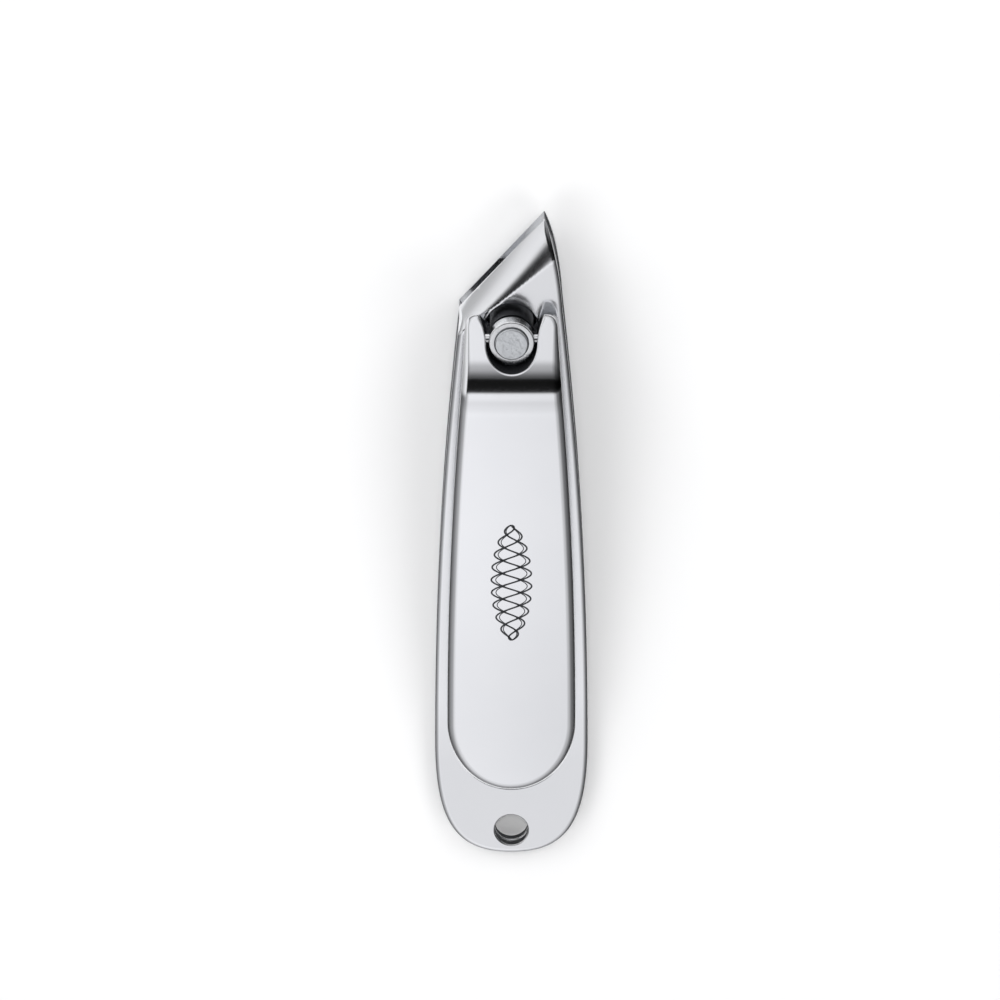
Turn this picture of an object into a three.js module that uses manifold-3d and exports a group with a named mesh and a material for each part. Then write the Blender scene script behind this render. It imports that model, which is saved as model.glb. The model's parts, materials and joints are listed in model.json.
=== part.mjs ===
// Compound-lever nail clipper with a slanted cutting edge, its lever folded down for storage.
// Millimetres, +Z up, +Y towards the jaws. The assembly is drawn around the post's axis and then
// moved so that the origin lies on the table under the middle of the outline.
import * as THREE from 'three';
import { mergeVertices } from 'three/addons/utils/BufferGeometryUtils.js';
import Module from 'manifold-3d';

const wasm = await Module();
wasm.setup();

// Overall outline, measured along Y from the post's axis
const LENGTH = 105;
const TIP_Y = 16.7;
const TAIL_Y = TIP_Y - LENGTH;
const HALF_WIDTH = 11.42;
const WIDEST_Y = -70;
const FRONT_HALF_WIDTH = 7.5;
const FRONT_Y = 3;
const LEFT_CHEEK = { halfWidth: 7.7, y: 1 };
const RIGHT_CHEEK_BOW = [7, 11];
const TAIL_ROUND = { sideY: -84, endX: 7.8 };

// Cutting edge and the crease behind it, as [x, y]
const EDGE_LEFT = [-7.75, 2.45];
const EDGE_TIP = [4.85, TIP_Y];
const CREASE_LEFT = [-8.2, -1.35];
const CREASE_RIGHT = [6.6, 10.95];

// Plates and heights above the table
const PLATE = 1.6;
const TAIL_TOP = 3.5;
const LOWER_RISE = 1.5;
const UPPER_TOP = 9.2;
const LOWER_EDGE_Z = 4.2;
const CLOSED_EDGE_GAP = 0.12;
const JAW_TRAVEL = THREE.MathUtils.degToRad(1.7);
const JAW_BOW = 0.45;

// Side views of the arms: where each one bends, and over what run
const LOWER_STEP = { start: -19, end: -11, bend: 3 };
const UPPER_RAMP = { start: -68, end: -15, bend: 5 };

// Tail rivets and the hole for a ring
const RIVET_Y = -71.5;
const RIVET_X = 4.5;
const RIVET_RADIUS = 1.45;
const RIVET_HOLE_RADIUS = 1.65;
const RIVET_SINK = { radius: 2.2, depth: 0.75 };
const RIVET_HEAD = { radius: 2.1, height: 0.7, crown: 1.3 };
const RIVET_CLEARANCE = 0.15;
const RING_HOLE = { radius: 2.5, y: TAIL_Y + 3.8 };

// Post, collar and cross pin
const POST_RADIUS = 3.2;
const POST_HOLE_RADIUS = 3.9;
const POST_FLANGE = { radius: 4.7, height: 1.2 };
const POST_SHOULDER_Z = 11.5;
const POST_END = { radius: 2.45, z: 15.4, bevel: 0.2 };
const COLLAR = { inner: 2.52, outer: 3.4, bottom: 11.6, top: 14.8, bevel: 0.25 };
const PIVOT_Z = UPPER_TOP + 3.95;
const PIN_RADIUS = 0.8;
const PIN_HALF_LENGTH = 6.3;
const PIN_HOLE_RADIUS = 0.9;

// Lever, in its own frame: the origin is the cross pin's axis
const LEVER_PLATE = 1.5;
const LEVER_SLOPE = THREE.MathUtils.degToRad(11);
const FORK_SLOPE = THREE.MathUtils.degToRad(38);
const CREST = [-5.64, 6.15];
const CREST_BEND = 4.84;
const LEVER_TAIL_Y = -77.2;
const LEVER_HALF_WIDTH = 9.55;
const LEVER_WIDEST_Y = -65;
const FORK_HALF_WIDTH = 6.8;
const FORK_TIP_Y = 3.62;
const FORK_TIP_ROUND = { sideY: 1.4, frontX: 5.1 };
const FORK_NOSE_RADIUS = 3.65;
const FORK_SLOT = { radius: 3.8, throatY: 1.3, mouthX: 5.4 };
const LEVER_TAIL_ROUND = { sideY: -71.5, endX: 5.6 };
const RIM_DEPTH = { front: 3.2, tail: 1.5 };
const RIM_WIDTH = 1.5;
const TRAY_FRONT_Y = -6;

const ROUND_STEPS = 40;
const CURVE_STEPS = 14;
const FAR = 200;

// ---------------------------------------------------------------- solids

function solid(geometry) {
  const bare = geometry.clone();
  bare.deleteAttribute('normal');
  bare.deleteAttribute('uv');
  const merged = mergeVertices(bare, 1e-4);
  return new wasm.Manifold(new wasm.Mesh({
    numProp: 3,
    vertProperties: new Float32Array(merged.attributes.position.array),
    triVerts: new Uint32Array(merged.index.array),
  }));
}

function geometryOf(body) {
  const mesh = body.getMesh();
  const geometry = new THREE.BufferGeometry();
  geometry.setAttribute('position', new THREE.BufferAttribute(mesh.vertProperties, 3));
  geometry.setIndex(new THREE.BufferAttribute(mesh.triVerts, 1));
  geometry.computeVertexNormals();
  return geometry;
}

function prismAlongZ(shape, low, high) {
  const geometry = new THREE.ExtrudeGeometry(shape, {
    depth: high - low, bevelEnabled: false, curveSegments: CURVE_STEPS,
  });
  return solid(geometry.translate(0, 0, low));
}

// A side view, given as [y, z] points, made halfWidth thick on each side of the middle plane
function prismAlongX(sidePoints, halfWidth) {
  const shape = new THREE.Shape(sidePoints.map(([y, z]) => new THREE.Vector2(y, z)));
  const geometry = new THREE.ExtrudeGeometry(shape, { depth: 2 * halfWidth, bevelEnabled: false });
  const turn = new THREE.Matrix4().makeBasis(
    new THREE.Vector3(0, 1, 0), new THREE.Vector3(0, 0, 1), new THREE.Vector3(1, 0, 0));
  return solid(geometry.applyMatrix4(turn).translate(-halfWidth, 0, 0));
}

function rodAlongZ(radius, low, high, x = 0, y = 0) {
  const geometry = new THREE.CylinderGeometry(radius, radius, high - low, ROUND_STEPS);
  return solid(geometry.rotateX(Math.PI / 2).translate(x, y, (low + high) / 2));
}

function rodAlongX(radius, halfLength, y = 0, z = 0) {
  const geometry = new THREE.CylinderGeometry(radius, radius, 2 * halfLength, ROUND_STEPS / 2);
  return solid(geometry.rotateZ(Math.PI / 2).translate(0, y, z));
}

// A profile of [radius, z] points turned about the Z axis
function turned(profile) {
  const points = profile.map(([radius, z]) => new THREE.Vector2(radius, z));
  return solid(new THREE.LatheGeometry(points, ROUND_STEPS).rotateX(Math.PI / 2));
}

// A closed body through rings of points, each ring drawn on a plane that holds the Z direction
function loft(rings) {
  const size = rings[0].length;
  const positions = rings.flat().flatMap((point) => point.toArray());
  const index = [];
  for (let ring = 0; ring < rings.length - 1; ring += 1) {
    for (let i = 0; i < size; i += 1) {
      const a = ring * size + i;
      const b = ring * size + ((i + 1) % size);
      index.push(a, b, b + size, a, b + size, a + size);
    }
  }
  const capEnd = (ring, reversed) => {
    const flat = ring.map((point) => new THREE.Vector2(point.y, point.z));
    const start = rings.indexOf(ring) * size;
    const swap = THREE.ShapeUtils.isClockWise(flat) !== reversed;
    for (const [a, b, c] of THREE.ShapeUtils.triangulateShape(flat, [])) {
      index.push(start + a, start + (swap ? c : b), start + (swap ? b : c));
    }
  };
  capEnd(rings[0], true);
  capEnd(rings.at(-1), false);
  const geometry = new THREE.BufferGeometry();
  geometry.setAttribute('position', new THREE.Float32BufferAttribute(positions, 3));
  geometry.setIndex(index);
  return solid(geometry);
}

// ---------------------------------------------------------------- lines

// Straight runs through [y, z] points, with every corner bent over the given run
function bentLine(points, bend) {
  const corners = points.map(([y, z]) => new THREE.Vector2(y, z));
  const towards = (from, to) => from.clone().add(to.clone().sub(from).setLength(bend));
  const path = new THREE.Path();
  path.moveTo(...corners[0].toArray());
  for (let i = 1; i < corners.length - 1; i += 1) {
    const before = towards(corners[i], corners[i - 1]);
    const after = towards(corners[i], corners[i + 1]);
    path.lineTo(before.x, before.y);
    path.quadraticCurveTo(corners[i].x, corners[i].y, after.x, after.y);
  }
  path.lineTo(...corners.at(-1).toArray());
  return path.getPoints(CURVE_STEPS).map((point) => [point.x, point.y]);
}

function bandBelow(topLine, thickness) {
  const bottomLine = topLine.map(([y, z]) => [y, z - thickness]);
  return [...topLine, ...bottomLine.reverse()];
}

// ---------------------------------------------------------------- arms

// Both arms share this outline: long curved sides, a full round tail and the slanted edge
function armOutline() {
  const sideMiddle = (WIDEST_Y + FRONT_Y) / 2;
  const shape = new THREE.Shape();
  shape.moveTo(...EDGE_LEFT);
  shape.lineTo(-LEFT_CHEEK.halfWidth, LEFT_CHEEK.y);
  shape.quadraticCurveTo(-HALF_WIDTH, sideMiddle, -HALF_WIDTH, WIDEST_Y);
  shape.bezierCurveTo(-HALF_WIDTH, TAIL_ROUND.sideY, -TAIL_ROUND.endX, TAIL_Y, 0, TAIL_Y);
  shape.bezierCurveTo(TAIL_ROUND.endX, TAIL_Y, HALF_WIDTH, TAIL_ROUND.sideY, HALF_WIDTH, WIDEST_Y);
  shape.quadraticCurveTo(HALF_WIDTH, sideMiddle, FRONT_HALF_WIDTH, FRONT_Y);
  shape.quadraticCurveTo(...RIGHT_CHEEK_BOW, ...EDGE_TIP);
  return shape;
}

function aheadOfCrease() {
  const run = new THREE.Vector2(...CREASE_RIGHT).sub(new THREE.Vector2(...CREASE_LEFT)).setLength(FAR);
  const left = new THREE.Vector2(...CREASE_LEFT).sub(run);
  const right = new THREE.Vector2(...CREASE_RIGHT).add(run);
  const ahead = new THREE.Vector2(-run.y, run.x);
  const corners = [left, right, right.clone().add(ahead), left.clone().add(ahead)];
  return prismAlongZ(new THREE.Shape(corners), -FAR, FAR);
}

// Jaw: a bowed face from the crease down to the cutting edge, hollow-ground inside.
// side is 1 for the upper jaw, which bends down, and -1 for the lower jaw, which bends up.
function jaw(outerZ, edgeZ, side) {
  const rootLength = 1;
  const steps = [0, 0.15, 0.3, 0.45, 0.6, 0.8, 1];
  const innerBend = 0.3;
  const ringAt = (s) => {
    const crease = new THREE.Vector2(...CREASE_LEFT).lerp(new THREE.Vector2(...CREASE_RIGHT), s);
    const edge = new THREE.Vector2(...EDGE_LEFT).lerp(new THREE.Vector2(...EDGE_TIP), s);
    const at = (t, z) => {
      const place = crease.clone().lerp(edge, t);
      return new THREE.Vector3(place.x, place.y, z);
    };
    const drop = outerZ - edgeZ(edge.y);
    const outer = steps.map((t) => at(t, outerZ - drop * (JAW_BOW * t + (1 - JAW_BOW) * t * t)));
    const back = -rootLength / crease.distanceTo(edge);
    const innerZ = outerZ - side * PLATE;
    return [at(back, outerZ), ...outer, at(innerBend, innerZ), at(back, innerZ)];
  };
  const stations = [-0.2, 0, 0.2, 0.4, 0.6, 0.8, 1, 1.2, 1.4];
  return loft((side > 0 ? stations.reverse() : stations).map(ringAt));
}

function arm(topLine, outerZ, edgeZ, side) {
  const plate = prismAlongX(bandBelow(topLine, PLATE), HALF_WIDTH + 1).subtract(aheadOfCrease());
  const outline = prismAlongZ(armOutline(), -FAR, FAR);
  let body = plate.add(jaw(outerZ, edgeZ, side)).intersect(outline);
  body = body.subtract(rodAlongZ(POST_HOLE_RADIUS, -FAR, FAR));
  body = body.subtract(rodAlongZ(RING_HOLE.radius, -FAR, FAR, 0, RING_HOLE.y));
  for (const x of [-RIVET_X, RIVET_X]) {
    body = body.subtract(rodAlongZ(RIVET_HOLE_RADIUS, -FAR, FAR, x, RIVET_Y));
  }
  return body;
}

function lowerArm() {
  const topLine = bentLine([
    [TAIL_Y - 1, PLATE], [LOWER_STEP.start, PLATE],
    [LOWER_STEP.end, PLATE + LOWER_RISE], [TIP_Y + 1, PLATE + LOWER_RISE],
  ], LOWER_STEP.bend);
  let body = arm(topLine, LOWER_RISE, () => LOWER_EDGE_Z, -1);
  for (const x of [-RIVET_X, RIVET_X]) {
    body = body.subtract(rodAlongZ(RIVET_SINK.radius, -1, RIVET_SINK.depth, x, RIVET_Y));
  }
  return body;
}

function upperArm() {
  const topLine = bentLine([
    [TAIL_Y - 1, TAIL_TOP], [UPPER_RAMP.start, TAIL_TOP],
    [UPPER_RAMP.end, UPPER_TOP], [TIP_Y + 1, UPPER_TOP],
  ], UPPER_RAMP.bend);
  const edgeZ = (y) => LOWER_EDGE_Z + CLOSED_EDGE_GAP + JAW_TRAVEL * (y - RIVET_Y);
  return arm(topLine, UPPER_TOP, edgeZ, 1);
}

// ---------------------------------------------------------------- post and pins

function post() {
  const { radius, z, bevel } = POST_END;
  const body = turned([
    [0, 0], [POST_FLANGE.radius, 0], [POST_FLANGE.radius, POST_FLANGE.height],
    [POST_RADIUS, POST_FLANGE.height], [POST_RADIUS, POST_SHOULDER_Z],
    [radius, POST_SHOULDER_Z], [radius, z - bevel], [radius - bevel, z], [0, z],
  ]);
  return body.subtract(rodAlongX(PIN_HOLE_RADIUS, FAR, 0, PIVOT_Z));
}

function postCollar() {
  const { inner, outer, bottom, top, bevel } = COLLAR;
  const body = turned([
    [inner, bottom], [outer, bottom], [outer, top - bevel], [outer - bevel, top], [inner, top],
    [inner, bottom],
  ]);
  return body.subtract(rodAlongX(PIN_HOLE_RADIUS, FAR, 0, PIVOT_Z));
}

function crossPin() {
  return rodAlongX(PIN_RADIUS, PIN_HALF_LENGTH);
}

function tailRivet() {
  const base = 0.05;
  const sunkRadius = RIVET_SINK.radius - 2 * RIVET_CLEARANCE;
  const sunkTop = RIVET_SINK.depth - RIVET_CLEARANCE;
  const headBottom = TAIL_TOP + RIVET_CLEARANCE;
  const headTop = headBottom + RIVET_HEAD.height;
  return turned([
    [0, base], [sunkRadius, base], [sunkRadius, sunkTop],
    [RIVET_RADIUS, sunkTop], [RIVET_RADIUS, headBottom],
    [RIVET_HEAD.radius, headBottom], [RIVET_HEAD.radius, headBottom + RIVET_HEAD.height / 2],
    [RIVET_HEAD.crown, headTop], [0, headTop],
  ]);
}

// ---------------------------------------------------------------- lever

// The lever's upper surface from its tail over the crest to the fork, lowered by the given depths
function leverLine(depth, tailDepth = depth) {
  const [crestY, crestZ] = CREST;
  const legRun = 1 / Math.cos(LEVER_SLOPE);
  const forkRun = 1 / Math.cos(FORK_SLOPE);
  const shift = (depth * (legRun - forkRun)) / (Math.tan(LEVER_SLOPE) + Math.tan(FORK_SLOPE));
  const corner = [crestY + shift, crestZ + shift * Math.tan(LEVER_SLOPE) - depth * legRun];
  const tailY = LEVER_TAIL_Y - 1;
  const tailZ = crestZ + (tailY - crestY) * Math.tan(LEVER_SLOPE) - tailDepth * legRun;
  const tipY = FORK_TIP_Y + 1;
  const tipZ = crestZ - (tipY - crestY) * Math.tan(FORK_SLOPE) - depth * forkRun;
  return bentLine([[tailY, tailZ], corner, [tipY, tipZ]], CREST_BEND);
}

function below(line) {
  return prismAlongX([...line, [line.at(-1)[0], -FAR], [line[0][0], -FAR]], FAR);
}

function behind(y) {
  return prismAlongX([[-FAR, -FAR], [y, -FAR], [y, FAR], [-FAR, FAR]], FAR);
}

// The whole pressing seen from the side: the rims' full depth, and round noses about the pin
function leverSide() {
  const pressing = below(leverLine(0));
  const rims = pressing.subtract(below(leverLine(RIM_DEPTH.front, RIM_DEPTH.tail)));
  const noses = rodAlongX(FORK_NOSE_RADIUS, FAR).intersect(pressing);
  return rims.intersect(behind(0)).add(noses);
}

function leverOutline(inset) {
  const half = LEVER_HALF_WIDTH - inset;
  const fork = FORK_HALF_WIDTH - inset;
  const tailY = LEVER_TAIL_Y + inset;
  const tailX = LEVER_TAIL_ROUND.endX - inset;
  const sideMiddle = LEVER_WIDEST_Y / 2;
  const { sideY, frontX } = FORK_TIP_ROUND;
  const shape = new THREE.Shape();
  shape.moveTo(-half, LEVER_WIDEST_Y);
  shape.bezierCurveTo(-half, LEVER_TAIL_ROUND.sideY, -tailX, tailY, 0, tailY);
  shape.bezierCurveTo(tailX, tailY, half, LEVER_TAIL_ROUND.sideY, half, LEVER_WIDEST_Y);
  shape.quadraticCurveTo(half, sideMiddle, fork, sideY);
  shape.quadraticCurveTo(fork, FORK_TIP_Y, frontX, FORK_TIP_Y);
  shape.lineTo(-frontX, FORK_TIP_Y);
  shape.quadraticCurveTo(-fork, FORK_TIP_Y, -fork, sideY);
  shape.quadraticCurveTo(-half, sideMiddle, -half, LEVER_WIDEST_Y);
  return shape;
}

// The open fork slot, with its mouth widened towards the tips
function forkSlot() {
  const { radius, throatY, mouthX } = FORK_SLOT;
  const shape = new THREE.Shape();
  shape.moveTo(mouthX, FORK_TIP_Y + 1);
  shape.lineTo(-mouthX, FORK_TIP_Y + 1);
  shape.lineTo(-radius, throatY);
  shape.lineTo(-radius, 0);
  shape.absarc(0, 0, radius, Math.PI, 2 * Math.PI, false);
  shape.lineTo(radius, throatY);
  return prismAlongZ(shape, -FAR, FAR);
}

function lever() {
  const hollow = below(leverLine(LEVER_PLATE))
    .intersect(prismAlongZ(leverOutline(RIM_WIDTH), -FAR, FAR))
    .intersect(behind(TRAY_FRONT_Y));
  return leverSide()
    .intersect(prismAlongZ(leverOutline(0), -FAR, FAR))
    .subtract(hollow)
    .subtract(forkSlot())
    .subtract(rodAlongX(PIN_HOLE_RADIUS, FAR));
}

// ---------------------------------------------------------------- assembly

const polished = { color: 0xdfe2e6, roughness: 0.12, metalness: 1 };
const ground = { color: 0xd4d6d8, roughness: 0.3, metalness: 1 };
const peened = { color: 0xb9bbbd, roughness: 0.45, metalness: 1 };

function piece(name, body, finish) {
  const mesh = new THREE.Mesh(geometryOf(body), new THREE.MeshStandardMaterial(finish));
  mesh.name = name;
  return mesh;
}

const clipper = new THREE.Group();
clipper.position.y = (LENGTH / 2) - TIP_Y;
clipper.add(piece('lower_arm', lowerArm(), polished));
clipper.add(piece('upper_arm', upperArm(), polished));
clipper.add(piece('post', post(), peened));
clipper.add(piece('post_collar', postCollar(), ground));

const pivot = new THREE.Group();
pivot.position.z = PIVOT_Z;
pivot.add(piece('cross_pin', crossPin(), ground));
pivot.add(piece('lever', lever(), polished));
clipper.add(pivot);

for (const [side, x] of [['left', -RIVET_X], ['right', RIVET_X]]) {
  const rivet = piece(`tail_rivet_${side}`, tailRivet(), ground);
  rivet.position.set(x, RIVET_Y, 0);
  clipper.add(rivet);
}

export default clipper;
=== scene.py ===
"""Nail clipper with a slanted edge and a folded lever: looks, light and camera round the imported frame."""

import json
import math

import bmesh
import bpy
import numpy as np
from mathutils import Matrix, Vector, noise
from mathutils.geometry import delaunay_2d_cdt


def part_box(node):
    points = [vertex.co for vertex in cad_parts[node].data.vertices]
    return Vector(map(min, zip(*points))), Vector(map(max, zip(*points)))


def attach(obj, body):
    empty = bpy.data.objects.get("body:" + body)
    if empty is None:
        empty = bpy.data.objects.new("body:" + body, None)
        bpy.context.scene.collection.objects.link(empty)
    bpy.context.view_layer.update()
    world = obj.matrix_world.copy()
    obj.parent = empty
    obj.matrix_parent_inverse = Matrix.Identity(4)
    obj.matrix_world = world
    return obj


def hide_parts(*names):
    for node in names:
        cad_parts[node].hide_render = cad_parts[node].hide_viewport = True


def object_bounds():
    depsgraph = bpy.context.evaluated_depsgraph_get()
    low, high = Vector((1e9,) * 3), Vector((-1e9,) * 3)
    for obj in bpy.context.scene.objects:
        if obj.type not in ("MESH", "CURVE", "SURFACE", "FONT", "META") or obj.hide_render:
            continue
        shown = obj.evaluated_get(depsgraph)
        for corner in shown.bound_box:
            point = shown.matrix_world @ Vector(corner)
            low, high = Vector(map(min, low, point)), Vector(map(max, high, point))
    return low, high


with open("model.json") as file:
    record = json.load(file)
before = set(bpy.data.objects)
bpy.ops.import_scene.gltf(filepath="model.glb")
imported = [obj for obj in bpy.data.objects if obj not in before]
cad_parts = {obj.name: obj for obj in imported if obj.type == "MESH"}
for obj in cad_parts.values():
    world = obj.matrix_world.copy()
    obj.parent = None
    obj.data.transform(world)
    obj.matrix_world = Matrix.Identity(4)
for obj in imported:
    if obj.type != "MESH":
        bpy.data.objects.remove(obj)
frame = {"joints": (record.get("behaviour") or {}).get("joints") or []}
cad_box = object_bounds()

# ------------------------------------------------------------------ driving values
# Shapes are drawn in millimetres round the post's axis; the frame says where that axis is.
MM = 0.001
JOINTS = {joint["name"]: joint for joint in frame["joints"]}
POST_AXIS_Y = JOINTS["post_turn"]["pos_m"][1] / MM
PIVOT_Z = JOINTS["lever_flip"]["pos_m"][2] / MM
RIVET_LINE_Y = JOINTS["jaw_close"]["pos_m"][1] / MM - POST_AXIS_Y
TIP_Y = cad_box[1].y / MM - POST_AXIS_Y
TAIL_Y = cad_box[0].y / MM - POST_AXIS_Y
HALF_WIDTH = cad_box[1].x / MM
UPPER_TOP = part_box("upper_arm")[1].z / MM
LOWER_EDGE_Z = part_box("lower_arm")[1].z / MM

PLATE = 1.6
TAIL_TOP = 3.5
LOWER_RISE = 1.5
EDGE_LEFT = (-7.75, 2.45)
EDGE_TIP = (4.85, TIP_Y)
CREASE_LEFT = (-8.2, -1.35)
CREASE_RIGHT = (6.6, 10.95)
JAW_TRAVEL = math.radians(JOINTS["jaw_close"]["range_deg"][1])
JAW_BOW = 0.45
JAW_INNER_BEND = 0.3
EDGE_LAND = 0.08
POST_HOLE_RADIUS = 3.9
RING_HOLE_RADIUS = 2.5
RING_HOLE_Y = TAIL_Y + 3.8
ARM_WIDEST_Y = -70
ARM_FRONT = (7.5, 3)
JAW_GAP = 0.12
RIVET_X = 4.5
RIVET_RADIUS = 1.6
ARM_EDGE_ROLL = 1.15
ARM_UNDER_ROLL = 0.4
HOLE_EDGE_ROLL = 0.22
SWEEP = math.radians(37)


# ------------------------------------------------------------------ lines and loops
def bezier(points, count):
    """count points along a Bezier curve of any degree, leaving out its last point."""
    t = np.linspace(0, 1, count, endpoint=False)[:, None]
    degree = len(points) - 1
    return sum(math.comb(degree, k) * (1 - t) ** (degree - k) * t ** k * np.array(p, float)
               for k, p in enumerate(points))


def even(loop, step):
    """A closed loop resampled to nearly even steps, keeping its sharp corners."""
    loop = np.asarray(loop, float)
    kept = [0]
    for i in range(1, len(loop)):
        before, after = loop[i] - loop[i - 1], loop[(i + 1) % len(loop)] - loop[i]
        turn = abs(math.atan2(before[0] * after[1] - before[1] * after[0], before @ after))
        if turn > math.radians(20):
            kept.append(i)
    parts = []
    for a, b in zip(kept, kept[1:] + [len(loop)]):
        run = np.vstack([loop[a:b], loop[b % len(loop)]])
        along = np.concatenate([[0], np.cumsum(np.linalg.norm(np.diff(run, axis=0), axis=1))])
        count = max(2, round(along[-1] / step))
        where = np.linspace(0, along[-1], count, endpoint=False)
        parts.append(np.column_stack([np.interp(where, along, run[:, k]) for k in (0, 1)]))
    return np.vstack(parts)


def circle(radius, x, y, count):
    """A clockwise loop, for a hole: the material is on its left."""
    angle = -np.linspace(0, 2 * math.pi, count, endpoint=False)
    return np.column_stack([x + radius * np.cos(angle), y + radius * np.sin(angle)])


def inwards(loop):
    """Unit directions into the material, and how much longer a corner's offset has to be."""
    ahead = np.roll(loop, -1, axis=0) - loop
    ahead /= np.linalg.norm(ahead, axis=1)[:, None]
    back = np.roll(ahead, 1, axis=0)
    left = np.column_stack([-(ahead + back)[:, 1], (ahead + back)[:, 0]])
    left /= np.linalg.norm(left, axis=1)[:, None]
    stretch = 1 / np.clip((left * np.column_stack([-ahead[:, 1], ahead[:, 0]])).sum(1), 0.35, 1)
    return left, stretch


def bent_line(corners, run, steps=500):
    """A side view: straight stretches through (y, z) corners, each corner bent over the run."""
    corners = [np.array(c, float) for c in corners]
    line = [corners[0]]
    for before, corner, after in zip(corners, corners[1:], corners[2:]):
        start = corner + (before - corner) / np.linalg.norm(before - corner) * run
        end = corner + (after - corner) / np.linalg.norm(after - corner) * run
        line.extend(bezier([start, corner, end], steps))
        line.append(end)
    line.append(corners[-1])
    return np.array(line)


def smoothed(values, passes):
    for _ in range(passes):
        values = (np.roll(values, 1) + 2 * values + np.roll(values, -1)) / 4
    return values


def inside(points, loop):
    """Which points lie inside a loop."""
    x, y = points[:, :1], points[:, 1:2]
    a, b = loop, np.roll(loop, -1, axis=0)
    crosses = (a[:, 1] > y) != (b[:, 1] > y)
    with np.errstate(divide="ignore", invalid="ignore"):
        cut = (b[:, 0] - a[:, 0]) * (y - a[:, 1]) / (b[:, 1] - a[:, 1]) + a[:, 0]
    return (crosses & (x < cut)).sum(1) % 2 == 1


# ------------------------------------------------------------------ skins
class Skin:
    """One closed mesh, gathered as points that carry their own normals, in the post's frame."""

    def __init__(self):
        self.points, self.normals, self.faces, self.finishes = [], [], [], []

    def add(self, points, normals):
        first = len(self.points)
        self.points.extend(np.asarray(points, float).tolist())
        self.normals.extend(np.asarray(normals, float).tolist())
        return list(range(first, len(self.points)))

    def bridge(self, ring, following, finish=0):
        finish = np.broadcast_to(finish, len(ring))
        for i in range(len(ring)):
            j = (i + 1) % len(ring)
            self.faces.append((ring[i], ring[j], following[j], following[i]))
            self.finishes.append(int(finish[i]))

    def ring(self, flat, height, normal):
        return self.add(np.column_stack([flat, height]), normal)

    def fill(self, rings, surface, spots, upwards, finish=0):
        """Triangles between rings, through extra spots on the surface."""
        ids = [i for ring in rings for i in ring]
        flat = [self.points[i][:2] for i in ids]
        edges, first = [], 0
        for ring in rings:
            edges.extend((first + k, first + (k + 1) % len(ring)) for k in range(len(ring)))
            first += len(ring)
        loops = [np.array([self.points[i][:2] for i in ring]) for ring in rings]
        spots = np.asarray(spots, float).reshape(-1, 2)
        ids += self.ring(spots, surface(*spots.T), facing(surface, spots, upwards))
        flat += spots.tolist()
        made = delaunay_2d_cdt([Vector(p) for p in flat], edges, [], 0, 1e-7)
        corners = np.array([[v.x, v.y] for v in made[0]])
        lost = [tuple(round(c, 3) for c in v) for v, origin in zip(made[0], made[3]) if not origin]
        if lost:
            raise ValueError(f"rings cross at {lost[:6]}")
        whose = [ids[origin[0]] for origin in made[3]]
        triangles = np.array([face for face in made[2] if len(face) == 3])
        centres = corners[triangles].mean(1)
        within = sum(inside(centres, loop).astype(int) for loop in loops) % 2 == 1
        for triangle in triangles[within]:
            face = tuple(whose[k] for k in triangle)
            self.faces.append(face if upwards else face[::-1])
            self.finishes.append(finish)

    def build(self, name, finishes, at=(0, 0)):
        """at is where the drawing's origin lies from the post's axis on the table, as (y, z)."""
        shift = np.array([0, POST_AXIS_Y + at[0], at[1]])
        points = np.array(self.points)
        _, first, welded = np.unique(np.round(points, 5), axis=0, return_index=True, return_inverse=True)
        welded = welded.reshape(-1)
        faces, normals, slots = [], [], []
        for face, slot in zip(self.faces, self.finishes):
            kept = [i for k, i in enumerate(face) if welded[i] != welded[face[k - 1]]]
            if len(kept) > 2:
                faces.append([int(welded[i]) for i in kept])
                normals.extend(self.normals[i] for i in kept)
                slots.append(slot)
        mesh = bpy.data.meshes.new(name)
        mesh.from_pydata(((points[first] + shift) * MM).tolist(), [], faces)
        mesh.polygons.foreach_set("use_smooth", [True] * len(mesh.polygons))
        mesh.polygons.foreach_set("material_index", slots)
        for finish in finishes:
            mesh.materials.append(finish)
        mesh.update()
        mesh.normals_split_custom_set(normals)
        piece = bpy.data.objects.new(name, mesh)
        bpy.context.scene.collection.objects.link(piece)
        return piece


def facing(surface, flat, upwards):
    """Unit normals of a surface z(x, y)."""
    x, y = np.asarray(flat, float).T
    reach = 0.02
    slope_x = (surface(x + reach, y) - surface(x - reach, y)) / (2 * reach)
    slope_y = (surface(x, y + reach) - surface(x, y - reach)) / (2 * reach)
    normal = np.column_stack([-slope_x, -slope_y, np.ones_like(x)])
    normal /= np.linalg.norm(normal, axis=1)[:, None]
    return normal if upwards else -normal


def rim(skin, loop, top, bottom, roll, bottom_roll, sweep=math.pi / 2, wall=0, steps=7):
    """The wall round a loop, its edges rolled over by a radius and through the sweep angle.
    Returns the top and bottom inner rings."""
    towards, stretch = inwards(loop)
    outward = np.column_stack([-towards, np.zeros(len(loop))])
    sides = []
    for surface, radius, upwards in ((bottom, bottom_roll, False), (top, roll, True)):
        sign = 1 if upwards else -1
        rings = []
        for angle in np.linspace(sweep, 0, steps + 1):
            offset = radius * (math.sin(sweep) - math.sin(angle)) * stretch
            flat = loop + towards * offset[:, None]
            height = surface(*flat.T) - sign * radius * (1 - math.cos(angle))
            normal = math.sin(angle) * outward + math.cos(angle) * facing(surface, flat, upwards)
            rings.append(skin.ring(flat, height, normal / np.linalg.norm(normal, axis=1)[:, None]))
        edge = skin.ring(loop, surface(*loop.T) - sign * radius * (1 - math.cos(sweep)), outward)
        sides.append((edge, rings))
    (low_edge, low), (high_edge, high) = sides
    skin.bridge(low_edge, high_edge, wall)
    for ring, following in zip(high, high[1:]):
        skin.bridge(ring, following)
    for ring, following in zip(low, low[1:]):
        skin.bridge(following, ring)
    return high[-1], low[-1]


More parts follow.
